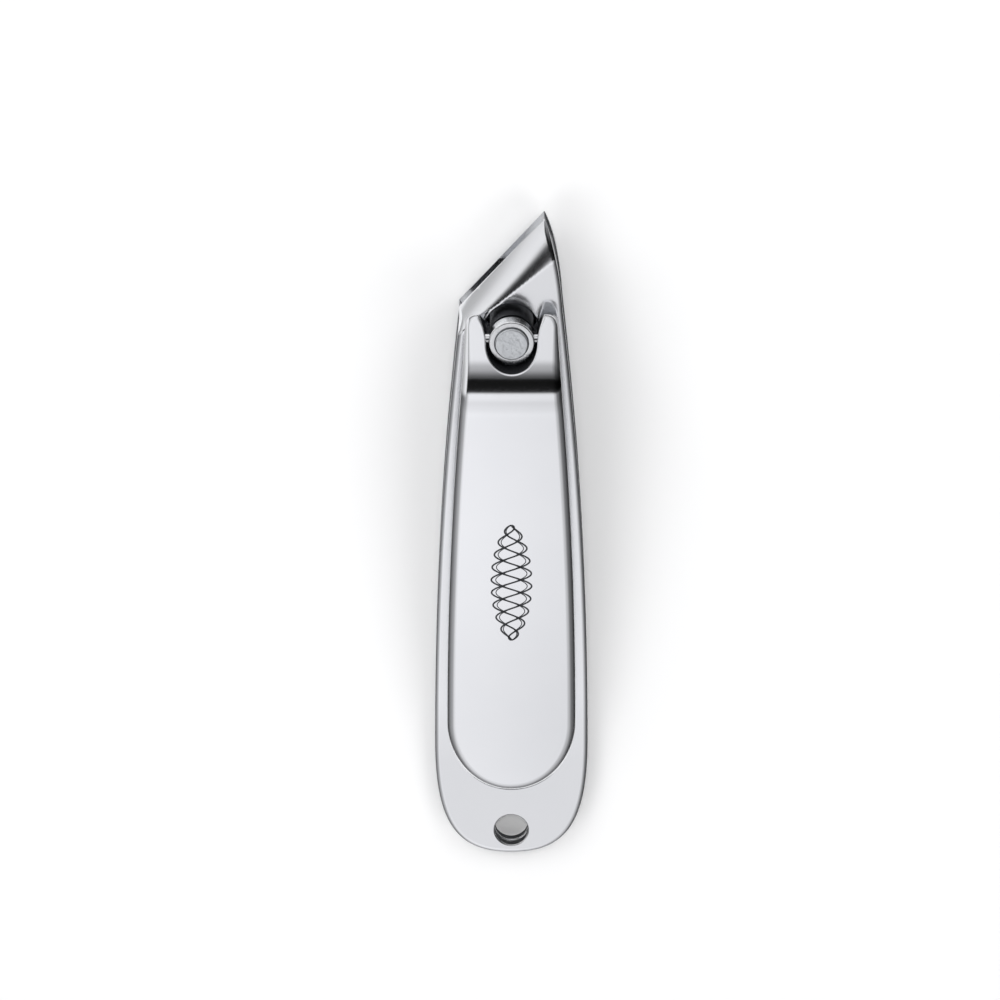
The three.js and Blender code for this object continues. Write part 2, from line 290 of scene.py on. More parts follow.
def grid(rows, step, loops, gap):
    """Spots in even rows that keep a gap to every loop, inside the first and outside the others."""
    spots = []
    for k, y in enumerate(rows):
        half = math.ceil(HALF_WIDTH / step) * step
        spots.append(np.column_stack([np.arange(-half, half, step) + step / 2 * (k % 2),
                                      np.full(int(round(2 * half / step)), y)]))
    spots = np.vstack(spots)
    keep = sum(inside(spots, loop).astype(int) for loop in loops) % 2 == 1
    edges = np.vstack(loops)
    near = np.array([np.min(np.hypot(*(edges - spot).T)) for spot in spots])
    return spots[keep & (near > gap)]


def loop_of(skin, ring):
    return np.array([skin.points[i][:2] for i in ring])


# ------------------------------------------------------------------ arms
def arm_outline():
    side_middle = (ARM_WIDEST_Y + ARM_FRONT[1]) / 2
    tail = [(-HALF_WIDTH, ARM_WIDEST_Y), (-HALF_WIDTH, -84), (-7.8, TAIL_Y), (0, TAIL_Y)]
    loop = np.vstack([
        [EDGE_LEFT],
        bezier([(-7.7, 1), (-HALF_WIDTH, side_middle), (-HALF_WIDTH, ARM_WIDEST_Y)], 120),
        bezier(tail, 60),
        bezier([(-x, y) for x, y in tail[::-1]], 60),
        bezier([(HALF_WIDTH, ARM_WIDEST_Y), (HALF_WIDTH, side_middle), ARM_FRONT], 120),
        bezier([ARM_FRONT, (7, 11), EDGE_TIP], 40),
        [EDGE_TIP],
    ])
    return even(loop, 0.42)


def signed_distance(x, y, start, end):
    """Distance to the left of the line from start to end."""
    run = np.subtract(end, start) / math.dist(start, end)
    return (y - start[1]) * run[0] - (x - start[0]) * run[1]


def jaw_share(x, y):
    """0 behind the crease, 1 at the cutting edge; and the y of the edge point straight ahead."""
    past = signed_distance(x, y, CREASE_LEFT, CREASE_RIGHT)
    past = (past + np.sqrt(past ** 2 + 0.1 ** 2)) / 2
    left = np.maximum(-signed_distance(x, y, EDGE_LEFT, EDGE_TIP), 0)
    across = (EDGE_TIP[0] - EDGE_LEFT[0]) / math.dist(EDGE_LEFT, EDGE_TIP)
    return past / (past + left + 1e-9), y + left * across


def jaw_outer(share):
    return JAW_BOW * share + (1 - JAW_BOW) * share ** 2


def jaw_inner(share):
    ahead = (share - JAW_INNER_BEND) / (1 - JAW_INNER_BEND)
    return np.clip((ahead + np.sqrt(ahead ** 2 + 0.02 ** 2)) / 2, 0, 1)


def upper_surfaces():
    line = bent_line([(TAIL_Y - 1, TAIL_TOP), (-68, TAIL_TOP), (-15, UPPER_TOP), (TIP_Y + 1, UPPER_TOP)], 5)

    def edge_z(y):
        return LOWER_EDGE_Z + JAW_GAP + JAW_TRAVEL * (y - RIVET_LINE_Y)

    def top(x, y):
        share, edge_y = jaw_share(x, y)
        drop = UPPER_TOP - edge_z(edge_y) - EDGE_LAND
        return np.interp(y, *line.T) - drop * jaw_outer(share)

    def bottom(x, y):
        share, edge_y = jaw_share(x, y)
        drop = UPPER_TOP - PLATE - edge_z(edge_y)
        return np.interp(y, *line.T) - PLATE - drop * jaw_inner(share)

    return top, bottom


def lower_surfaces():
    line = bent_line([(TAIL_Y - 1, PLATE), (-19, PLATE), (-11, PLATE + LOWER_RISE),
                      (TIP_Y + 1, PLATE + LOWER_RISE)], 3)

    def top(x, y):
        share = jaw_share(x, y)[0]
        rise = LOWER_EDGE_Z - LOWER_RISE - PLATE
        return np.interp(y, *line.T) + rise * jaw_inner(share)

    def bottom(x, y):
        share = jaw_share(x, y)[0]
        rise = LOWER_EDGE_Z - LOWER_RISE - EDGE_LAND
        return np.interp(y, *line.T) - PLATE + rise * jaw_outer(share)

    return top, bottom


def arm(name, surfaces, bends, finishes):
    top, bottom = surfaces
    skin = Skin()
    holes = [circle(POST_HOLE_RADIUS, 0, 0, 96), circle(RING_HOLE_RADIUS, 0, RING_HOLE_Y, 72)]
    holes += [circle(RIVET_RADIUS + 0.06, x, RIVET_LINE_Y, 48) for x in (-RIVET_X, RIVET_X)]
    over, under = [], []
    # Hole walls take finish 1, near-black painted shade. The outline's wall takes finish 2, darker grey
    # painted shade.
    for k, loop in enumerate([arm_outline()] + holes):
        thickness = top(*loop.T) - bottom(*loop.T)
        if k:
            roll = np.minimum(HOLE_EDGE_ROLL, 0.44 * thickness)
            above, below = rim(skin, loop, top, bottom, roll, roll, wall=1)
        else:
            roll = smoothed(np.minimum(ARM_EDGE_ROLL, 1.8 * thickness), 2)
            above, below = rim(skin, loop, top, bottom, roll, np.minimum(ARM_UNDER_ROLL, roll), SWEEP, 2)
        over.append(above)
        under.append(below)
    rows = np.arange(TAIL_Y + 1, TIP_Y, 1.1)
    for start, end in bends:
        rows = np.concatenate([rows[(rows < start) | (rows > end)], np.arange(start, end, 0.4)])
    for rings, surface, upwards in ((over, top, True), (under, bottom, False)):
        loops = [loop_of(skin, ring) for ring in rings]
        spots = grid(np.sort(rows[rows < -2]), 1.1, loops, 0.5)
        front = grid(np.arange(-2, TIP_Y, 0.35), 0.35, loops, 0.2)
        skin.fill(rings, surface, np.vstack([spots, front]), upwards)
    return skin.build(name, finishes)


# ------------------------------------------------------------------ lathe work
def turned(name, profile, finish, centre=(0, 0), segments=96):
    """A turned piece: (radius, z) points on a closed or axis-to-axis profile, turned about Z."""
    mesh = bmesh.new()
    x, y = centre
    rings = []
    for radius, z in profile:
        if radius < 1e-6:
            rings.append([mesh.verts.new((x * MM, (POST_AXIS_Y + y) * MM, z * MM))])
            continue
        angles = [2 * math.pi * k / segments for k in range(segments)]
        rings.append([mesh.verts.new(((x + radius * math.cos(a)) * MM,
                                      (POST_AXIS_Y + y + radius * math.sin(a)) * MM, z * MM))
                      for a in angles])
    for low, high in zip(rings, rings[1:]):
        for k in range(segments):
            j = (k + 1) % segments
            corners = [low[0], high[j], high[k]] if len(low) == 1 else (
                [low[k], low[j], high[0]] if len(high) == 1 else [low[k], low[j], high[j], high[k]])
            mesh.faces.new(corners)
    if math.dist(profile[0], profile[-1]) < 1e-6:
        bmesh.ops.remove_doubles(mesh, verts=mesh.verts, dist=1e-8)
    bmesh.ops.recalc_face_normals(mesh, faces=mesh.faces)
    return finished(name, mesh, finish)


def finished(name, mesh, finish, sharp=32):
    data = bpy.data.meshes.new(name)
    mesh.to_mesh(data)
    mesh.free()
    data.polygons.foreach_set("use_smooth", [True] * len(data.polygons))
    data.set_sharp_from_angle(angle=math.radians(sharp))
    data.materials.append(finish)
    piece = bpy.data.objects.new(name, data)
    bpy.context.scene.collection.objects.link(piece)
    return piece


# ------------------------------------------------------------------ lever
LEVER_PLATE = 1.5
LEVER_SLOPE = math.radians(11)
FORK_SLOPE = math.radians(38)
CREST = (-5.64, 6.15)
CREST_BEND = 4.84
LEVER_TAIL_Y = -77.2
LEVER_HALF_WIDTH = 9.55
FORK_HALF_WIDTH = 6.8
FORK_FRONT_Y = 3.44
NOSE_RADIUS = 3.65
SLOT_RADIUS = 3.8
RIM_DEPTH = (3.2, 1.5)
RIM_WIDTH = 1.5
TRAY_FRONT_Y = -6
LEVER_EDGE_ROLL = 2.2
SLOT_EDGE_ROLL = 0.4
LEVER_UNDER_ROLL = 0.25
LEVER_CROWN = 0.2
LEVER_SINK = 0.004
LEVER_TAIL_HALF = 5.6
LEG_BOW = 0.5
LEG_ENDS = (LEVER_TAIL_Y, -14)
PIN_RADIUS = 0.8


def lever_line(depth, tail_depth=None):
    """The lever's upper surface as (y, z), from tail to fork, lowered by the given depths."""
    tail_depth = depth if tail_depth is None else tail_depth
    leg, fork = 1 / math.cos(LEVER_SLOPE), 1 / math.cos(FORK_SLOPE)
    shift = depth * (leg - fork) / (math.tan(LEVER_SLOPE) + math.tan(FORK_SLOPE))
    corner = (CREST[0] + shift, CREST[1] + shift * math.tan(LEVER_SLOPE) - depth * leg)
    tail_y, tip_y = LEVER_TAIL_Y - 1, FORK_FRONT_Y + 1.2
    tail_z = CREST[1] + (tail_y - CREST[0]) * math.tan(LEVER_SLOPE) - tail_depth * leg
    tip_z = CREST[1] - (tip_y - CREST[0]) * math.tan(FORK_SLOPE) - depth * fork
    return bent_line([(tail_y, tail_z), corner, (tip_y, tip_z)], CREST_BEND)


def lever_half(inset):
    """The right half of the lever's outline, from the middle of the tail to the fork's tip."""
    half, fork = LEVER_HALF_WIDTH - inset, FORK_HALF_WIDTH - inset
    tail_y, tail_x = LEVER_TAIL_Y + inset, LEVER_TAIL_HALF - inset
    return np.vstack([
        bezier([(0, tail_y), (tail_x, tail_y), (half, -71.5), (half, -65)], 90),
        bezier([(half, -65), (half, -32.5), (fork, 1.4)], 240),
        bezier([(fork, 1.4), (fork, FORK_FRONT_Y), (5.25, FORK_FRONT_Y)], 24),
        [(5.25, FORK_FRONT_Y)],
    ])


def lever_loop():
    """The whole outline with the open slot, and which of its points lie in the slot."""
    right = lever_half(0)
    mouth = bezier([(4.83, 3.4), (SLOT_RADIUS, 1.3), (SLOT_RADIUS, 0)], 30)
    slot_right = np.vstack([[(4.85, FORK_FRONT_Y)], mouth])
    angle = np.linspace(0, -math.pi, 60)
    arc = SLOT_RADIUS * np.column_stack([np.cos(angle), np.sin(angle)])
    flip = np.array([-1, 1])
    loop = np.vstack([right, slot_right, arc[:-1], (slot_right * flip)[::-1], (right * flip)[::-1][:-1]])
    loop = even(loop, 0.3)
    in_slot = (np.hypot(*loop.T) < 5.2) & (np.abs(loop[:, 0]) < 4.9)
    return loop, in_slot


def lever_top():
    line = lever_line(0)

    def top(x, y):
        along = np.clip((y - LEG_ENDS[0]) / (LEG_ENDS[1] - LEG_ENDS[0]), 0, 1)
        bow = LEG_BOW * 16 * (along * (1 - along)) ** 2
        return np.interp(y, *line.T) - LEVER_SINK + bow - LEVER_CROWN * (x / LEVER_HALF_WIDTH) ** 2

    return top


def lever_piece(finishes):
    top, rim_line = lever_top(), lever_line(*RIM_DEPTH)
    ceiling_line = lever_line(LEVER_PLATE)

    def under(x, y):
        nose = -np.sqrt(np.maximum(NOSE_RADIUS ** 2 - np.clip(y, -NOSE_RADIUS, NOSE_RADIUS) ** 2, 0))
        rims = np.interp(y, *rim_line.T) + 0 * x
        return np.where(y > 0, nose, np.where(y > -NOSE_RADIUS, np.minimum(nose, rims), rims))

    def ceiling(x, y):
        return np.interp(y, *ceiling_line.T) + 0 * x

    skin = Skin()
    loop, in_slot = lever_loop()
    thickness = top(*loop.T) - under(*loop.T)
    roll = np.where(in_slot, SLOT_EDGE_ROLL, np.interp(loop[:, 1], (-3, 2), (LEVER_EDGE_ROLL, 1.1)))
    roll = smoothed(np.minimum(roll, np.where(in_slot, 0.7, 2.4) * thickness), 4)
    under_roll = np.minimum(LEVER_UNDER_ROLL, roll)
    # Slot walls take finish 1, near-black painted shade. The outer wall takes finish 3, darker grey painted
    # shade.
    over, below = rim(skin, loop, top, under, roll, under_roll, SWEEP, np.where(in_slot, 1, 3))

    tray = lever_half(RIM_WIDTH)
    tray = tray[tray[:, 1] < TRAY_FRONT_Y - 1]
    side, start = tray[-1]
    front = bezier([(side, start), (side, TRAY_FRONT_Y), (side - 1.5, TRAY_FRONT_Y)], 10)
    half_mouth = np.vstack([tray[:-1], front, [(side - 1.5, TRAY_FRONT_Y)]])
    mouth = np.vstack([half_mouth, (half_mouth * [-1, 1])[::-1][:-1]])
    mouth = even(mouth, 0.5)[::-1]
    towards, _ = inwards(mouth)
    depth = ceiling(*mouth.T) - under(*mouth.T)
    small = np.minimum(0.2, 0.3 * depth)[:, None]
    flat = np.column_stack([-towards, np.zeros(len(mouth))])
    down = np.tile([0, 0, -1.0], (len(mouth), 1))
    # The hollow's walls, the underside and the hollow's ceiling take finish 2, grey painted shade.
    rings = [
        skin.ring(mouth + towards * small, under(*mouth.T), down),
        skin.ring(mouth, under(*mouth.T) + small[:, 0], flat),
        skin.ring(mouth, ceiling(*mouth.T) - 2 * small[:, 0], flat),
        skin.ring(mouth - towards * 2 * small, ceiling(*mouth.T), down),
    ]
    for ring, following in zip(rings, rings[1:]):
        skin.bridge(following, ring, 2)

    bend = np.arange(CREST[0] - CREST_BEND - 0.6, CREST[0] + CREST_BEND + 0.6, 0.2)
    leg, fork = np.arange(LEVER_TAIL_Y, bend[0], 0.9), np.arange(bend[-1], FORK_FRONT_Y, 0.35)
    rows = np.concatenate([leg, bend, fork])
    outer = loop_of(skin, over)
    skin.fill([over], top, grid(rows, 0.9, [outer], 0.3), True)
    beneath = [loop_of(skin, below), loop_of(skin, rings[0])]
    skin.fill([below, rings[0]], under, grid(rows, 0.6, beneath, 0.3), False, 2)
    inner = loop_of(skin, rings[-1])
    skin.fill([rings[-1]], ceiling, grid(rows, 1.1, [inner], 0.4), False, 2)
    return skin.build("lever_pressing", finishes, at=(0, PIVOT_Z))


# ------------------------------------------------------------------ post, pin, collar and rivets
POST_RADIUS = 3.2
POST_FLANGE = (4.7, 1.2)
POST_SHOULDER_Z = 11.5
POST_END = (2.45, 15.4)
COLLAR = {"inner": 2.5, "outer": 3.4, "bottom": 11.6, "top": 14.8, "foot": (3.05, 12.7)}
PIN_HALF_LENGTH = 6.3


def corner(radius, z, size, start, steps=7):
    """A quarter round on a profile: its centre, its radius, and the angle where it starts."""
    return [(radius + size * math.cos(start + math.pi / 2 * k / steps),
             z + size * math.sin(start + math.pi / 2 * k / steps)) for k in range(steps + 1)]


def dents(x, y):
    """How far a peened face is beaten in: crossing dimples of a small punch."""
    depth = 0
    for size, share, seed in ((1.5, 0.55, 3.1), (2.9, 0.3, 7.7), (5.5, 0.15, 1.9)):
        near = noise.voronoi(Vector((x * size, y * size, seed)))[0][0]
        depth += share * max(0, 1 - 1.3 * near)
    return 0.075 * depth


def paint_shade_below(piece, height, finish):
    """Gives every face below a height a second, dark finish: painted shade low on the post and the collar's
    foot, where the arm's hole shades them.
    """
    piece.data.materials.append(finish)
    for face in piece.data.polygons:
        if face.center.z / MM < height:
            face.material_index = 1
    return piece


def post_piece(finish):
    radius, top = POST_END
    flange, flange_top = POST_FLANGE
    profile = [(0, 0), (flange - 0.3, 0)] + corner(flange - 0.3, 0.3, 0.3, -math.pi / 2)
    profile += corner(flange - 0.3, flange_top - 0.3, 0.3, 0)
    profile += [(POST_RADIUS, flange_top), (POST_RADIUS, POST_SHOULDER_Z), (radius, POST_SHOULDER_Z)]
    profile += [(radius, top - 0.3 - 0.4 * k) for k in range(9, -1, -1)]
    profile += corner(radius - 0.2, top - 0.25, 0.2, 0)
    profile += [(r, top - 0.05) for r in np.arange(radius - 0.25, 0.02, -0.05)] + [(0, top - 0.05)]
    piece = turned("post_shank", profile, finish, segments=180)
    for vertex in piece.data.vertices:
        x, y, z = vertex.co / MM
        y -= POST_AXIS_Y
        out = math.hypot(x, y) / radius
        if z > top - 0.3 and out < 1.02:
            fade = 1 - max(0, (out - 0.9) / 0.12) ** 2
            vertex.co.z += (0.05 - dents(x, y)) * max(fade, 0.35) * MM
        elif z > POST_SHOULDER_Z + 2.4 and out < 1.02:
            vertex.co.x *= 1 - 0.012 * noise.noise(Vector((x * 2, y * 2, z * 2)))
    return piece


def collar_piece(finish):
    inner, outer = COLLAR["inner"], COLLAR["outer"]
    bottom, top = COLLAR["bottom"], COLLAR["top"]
    foot, waist = COLLAR["foot"]
    profile = corner(inner + 0.12, bottom + 0.12, 0.12, math.pi)
    profile += corner(foot - 0.15, bottom + 0.15, 0.15, -math.pi / 2)
    profile += [(foot, waist), (outer - 0.1, waist), (outer, waist + 0.1)]
    profile += corner(outer - 0.24, top - 0.24, 0.24, 0) + corner(inner + 0.12, top - 0.12, 0.12, math.pi / 2)
    profile.append(profile[0])
    return turned("collar_ring", profile, finish, segments=160)


def rivet_piece(name, x, finish):
    base, top = 0.05, TAIL_TOP + 0.85
    profile = [(0, base), (1.75, base)] + corner(1.75, base + 0.12, 0.12, -math.pi / 2)
    profile += [(1.87, 0.6), (1.45, 0.6), (1.45, TAIL_TOP + 0.15), (1.96, TAIL_TOP + 0.15)]
    profile += corner(1.96, TAIL_TOP + 0.3, 0.14, 0)[:1]
    dome = [(2.1 * math.cos(a), TAIL_TOP + 0.3 + (top - TAIL_TOP - 0.3) * math.sin(a))
            for a in np.linspace(0, math.pi / 2, 14)]
    profile += dome[:-1] + [(0, top)]
    return turned(name, profile, finish, centre=(x, RIVET_LINE_Y), segments=72)


def pin_piece(finish):
    ends = PIN_HALF_LENGTH
    profile = [(0, -ends)] + corner(PIN_RADIUS - 0.15, -ends + 0.15, 0.15, -math.pi / 2)
    profile += [(PIN_RADIUS, z) for z in np.linspace(-ends + 0.4, ends - 0.4, 12)]
    profile += corner(PIN_RADIUS - 0.15, ends - 0.15, 0.15, 0) + [(0, ends)]
    piece = turned("pin_rod", profile, finish, segments=64)
    for vertex in piece.data.vertices:
        x, y, z = vertex.co.x, vertex.co.y - POST_AXIS_Y * MM, vertex.co.z
        vertex.co = (z, y + POST_AXIS_Y * MM, -x + PIVOT_Z * MM)
    return piece


# ------------------------------------------------------------------ etched mark on the lever
MARK_Y = -39.4
MARK_HALF = (3.0, 10.2)
MARK_TURNS = 1.5
MARK_LIFT = 0.014
MARK_SINK = 0.02
STRAND_LINES = ((1, 0.26), (0.78, 0.14))


def strip(skin, path, width, surface):
    """A thin flat ribbon laid along a path of (x, y) points, a hair above a surface."""
    path = np.asarray(path, float)
    ahead = np.roll(path, -1, axis=0) - np.roll(path, 1, axis=0)
    ahead[0], ahead[-1] = path[1] - path[0], path[-1] - path[-2]
    ahead /= np.linalg.norm(ahead, axis=1)[:, None]
    left = np.column_stack([-ahead[:, 1], ahead[:, 0]]) * width / 2
    up, down = facing(surface, path, True), facing(surface, path, False)
    rows = []
    for side, lift, normal in ((1, MARK_LIFT, up), (1, -MARK_SINK, down),
                               (-1, -MARK_SINK, down), (-1, MARK_LIFT, up)):
        flat = path + side * left
        rows.append(skin.ring(flat, surface(*flat.T) + lift, normal))
    last = len(path) - 1
    for one, other in ((0, 1), (1, 2), (2, 3), (3, 0)):
        for i in range(last):
            skin.faces.append((rows[one][i + 1], rows[other][i + 1], rows[other][i], rows[one][i]))
            skin.finishes.append(0)
    for i, order in ((0, (1, 2, 3, 0)), (last, (3, 2, 1, 0))):
        skin.faces.append(tuple(rows[k][i] for k in order))
        skin.finishes.append(0)


def strand(phase, share, steps=240):
    """One strand of a plain braid that narrows towards both ends."""
    t = np.linspace(-1, 1, steps)
    swing = MARK_HALF[0] * share * (1 - t ** 2) ** 0.6
    turn = 2 * math.pi * (MARK_TURNS * t + phase)
    return np.column_stack([swing * np.sin(turn), MARK_Y + MARK_HALF[1] * t])


def mark_piece(finish):
    top = lever_top()
    skin = Skin()
    for phase in (0, 1 / 3, 2 / 3):
        for share, width in STRAND_LINES:
            strip(skin, strand(phase, share), width, top)
    return skin.build("lever_mark", [finish], at=(0, PIVOT_Z))


# ------------------------------------------------------------------ finishes
def node(tree, kind, at, **values):
    made = tree.nodes.new(kind)
    made.location = at
    for key, value in values.items():
        if key in made.inputs:
            made.inputs[key].default_value = value
        else:
            setattr(made, key, value)
    return made


def steel(name, colour, roughness, spread, lay, scratch_scale, bump, stain=0.04, wear=0.1):
    """Bare steel. lay is how the fine scratches run: a scale for each of the piece's own axes."""
    material = bpy.data.materials.new(name)
    material.use_nodes = True
    tree = material.node_tree
    tree.nodes.clear()
    link = tree.links.new
    out = node(tree, "ShaderNodeOutputMaterial", (900, 0))
    shader = node(tree, "ShaderNodeBsdfPrincipled", (600, 0), Metallic=1.0)
    link(shader.outputs["BSDF"], out.inputs["Surface"])
    place = node(tree, "ShaderNodeTexCoord", (-1300, 0))
    along = node(tree, "ShaderNodeMapping", (-1100, 200))
    along.inputs["Scale"].default_value = lay
    link(place.outputs["Object"], along.inputs["Vector"])
    scratches = node(tree, "ShaderNodeTexNoise", (-880, 260), Scale=scratch_scale, Detail=5.0, Roughness=0.65)
    link(along.outputs["Vector"], scratches.inputs["Vector"])
    cloud = node(tree, "ShaderNodeTexNoise", (-880, -40), Scale=90.0, Detail=4.0, Roughness=0.55)
    link(place.outputs["Object"], cloud.inputs["Vector"])

    rough = node(tree, "ShaderNodeMapRange", (-560, 200))
    rough.inputs["From Min"].default_value = 0.3
    rough.inputs["From Max"].default_value = 0.7
    rough.inputs["To Min"].default_value = roughness - spread
    rough.inputs["To Max"].default_value = roughness + spread
    link(scratches.outputs[0], rough.inputs["Value"])
    cloudy = node(tree, "ShaderNodeMath", (-360, 120), operation="MULTIPLY_ADD")
    link(cloud.outputs[0], cloudy.inputs[0])
    cloudy.inputs[1].default_value = spread
    link(rough.outputs[0], cloudy.inputs[2])

    edge = node(tree, "ShaderNodeNewGeometry", (-880, -320))
    worn = node(tree, "ShaderNodeMapRange", (-560, -320))
    worn.inputs["From Min"].default_value = 0.52
    worn.inputs["From Max"].default_value = 0.62
    worn.inputs["To Max"].default_value = wear
    link(edge.outputs["Pointiness"], worn.inputs["Value"])
    both = node(tree, "ShaderNodeMath", (-160, 60), operation="ADD", use_clamp=True)
    link(cloudy.outputs[0], both.inputs[0])
    link(worn.outputs[0], both.inputs[1])
    link(both.outputs[0], shader.inputs["Roughness"])

    tint = node(tree, "ShaderNodeMix", (-160, 320), data_type="RGBA")
    darker = [c * (1 - stain * k) for c, k in zip(colour, (1.2, 1.0, 0.8))]
    tint.inputs[6].default_value = (*colour, 1)
    tint.inputs[7].default_value = (*darker, 1)
    link(cloud.outputs[0], tint.inputs[0])
    link(tint.outputs[2], shader.inputs["Base Color"])

    bumps = node(tree, "ShaderNodeBump", (300, -200), Strength=bump, Distance=0.00002)
    link(scratches.outputs[0], bumps.inputs["Height"])
    link(bumps.outputs["Normal"], shader.inputs["Normal"])
    return material


polished = steel("polished_steel", (0.88, 0.885, 0.9), 0.1, 0.025, (1, 0.12, 1), 9000, 0.05)
satin = steel("satin_steel", (0.88, 0.885, 0.9), 0.14, 0.025, (1, 0.12, 1), 9000, 0.03)
# Dull mid-grey: its colour paints shade on the lever's underside and inside its hollow.
inner_steel_painted_shade = steel("inner_steel_painted_shade", (0.5, 0.5, 0.51), 0.42, 0.1, (1, 0.3, 1), 4000, 0.3, stain=0.2)
# Outer side walls of the arms and the lever. The rougher ground edge is the steel's own, and its darker grey
# colour is painted shade along the outline.
ground_edge_painted_shade = steel("ground_edge_painted_shade", (0.58, 0.585, 0.6), 0.3, 0.06, (0.3, 0.3, 2), 6000, 0.15)
# Near-black wall finish: its colour paints the shade inside the arms' holes and the lever's slot. The rough
# sheared surface is the steel's own.
sheared_wall_painted_shade = steel("sheared_steel_painted_shade", (0.09, 0.09, 0.095), 0.5, 0.12, (1, 1, 0.15), 6000, 0.4, stain=0.3)
# Near-black colour painted on the post's shank and the collar's foot, standing for the shade down in the
# arm's hole.
painted_shade_shank = steel("shank_painted_shade", (0.1, 0.1, 0.105), 0.35, 0.1, (0.3, 0.3, 3), 4500, 0.3, stain=0.3)
turned_steel = steel("turned_steel", (0.82, 0.825, 0.835), 0.2, 0.06, (0.4, 0.4, 3), 5000, 0.15)
peened = steel("peened_steel", (0.86, 0.865, 0.87), 0.3, 0.1, (1, 1, 1), 3500, 0.5, stain=0.15)
etched = steel("etched_line", (0.17, 0.17, 0.175), 0.55, 0.1, (1, 1, 1), 6000, 0.3, stain=0.3)

# ------------------------------------------------------------------ pieces
UPPER_BENDS = [(-74, -62), (-20.5, -9.5)]
LOWER_BENDS = [(-22.5, -7.5)]
# Heights below which the post and the collar get the painted shade finish.
SHANK_SHADE_TOP = COLLAR["bottom"] + 0.9
COLLAR_FOOT_SHADE_TOP = COLLAR["foot"][1] - 0.01
# Arm finish slots: 0 top and underside, 1 hole walls in near-black painted shade, 2 outer wall in darker grey
# painted shade.
arm_finishes = [satin, sheared_wall_painted_shade, ground_edge_painted_shade]
upper_plate = arm("upper_plate", upper_surfaces(), UPPER_BENDS, arm_finishes)
lower_plate = arm("lower_plate", lower_surfaces(), LOWER_BENDS, arm_finishes)
# Lever finish slots: 0 polished top, 1 slot wall in near-black painted shade, 2 underside and hollow in grey
# painted shade, 3 outer wall in darker grey painted shade.
lever = lever_piece([polished, sheared_wall_painted_shade, inner_steel_painted_shade, ground_edge_painted_shade])
post = paint_shade_below(post_piece(peened), SHANK_SHADE_TOP, painted_shade_shank)
collar = paint_shade_below(collar_piece(turned_steel), COLLAR_FOOT_SHADE_TOP, painted_shade_shank)
pieces = [
    (upper_plate, "upper_arm", "upper_arm", "polished_steel"),
    (lower_plate, "lower_arm", "lower_arm", "polished_steel"),
    (lever, "lever", "lever", "polished_steel"),
    (post, "post", "post", "peened_steel"),
    (collar, "post", "post_collar", "ground_steel"),
    (pin_piece(turned_steel), "cross_pin", "cross_pin", "ground_steel"),
    (rivet_piece("rivet_left", -RIVET_X, turned_steel), "lower_arm", "tail_rivet_left", "ground_steel"),
    (rivet_piece("rivet_right", RIVET_X, turned_steel), "lower_arm", "tail_rivet_right", "ground_steel"),
]
for piece, body, cad_node, slot in pieces:
    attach(piece, body)
    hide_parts(cad_node)
mark = mark_piece(etched)
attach(mark, "lever")

# ------------------------------------------------------------------ camera
TILT = math.radians(24)
VIEW_WIDTH = 148.3
LENS = 500
SENSOR = 36
target = Vector((-1.7, 8.12, 9.2)) * MM
away = Vector((0, math.sin(TILT), math.cos(TILT)))
camera = bpy.data.objects.new("camera", bpy.data.cameras.new("camera"))
camera.data.lens = LENS
camera.data.sensor_width = SENSOR
camera.data.clip_start = 0.01
camera.location = target + away * (VIEW_WIDTH * MM * LENS / SENSOR)
camera.rotation_euler = (-TILT, 0, 0)
bpy.context.scene.collection.objects.link(camera)
bpy.context.scene.camera = camera

# ------------------------------------------------------------------ floor and studio light
FLOOR_HALF = 1.2
FLOOR_Z = -0.00005
floor_mesh = bmesh.new()
floor_mesh.faces.new([floor_mesh.verts.new((x * FLOOR_HALF, y * FLOOR_HALF, 0))
                      for x, y in ((-1, -1), (1, -1), (1, 1), (-1, 1))])
paper = bpy.data.materials.new("studio_paper")
paper.use_nodes = True
paper.node_tree.nodes["Principled BSDF"].inputs["Base Color"].default_value = (0.86, 0.86, 0.86, 1)
paper.node_tree.nodes["Principled BSDF"].inputs["Roughness"].default_value = 0.9
floor = finished("studio_floor", floor_mesh, paper)
floor.location.z = FLOOR_Z


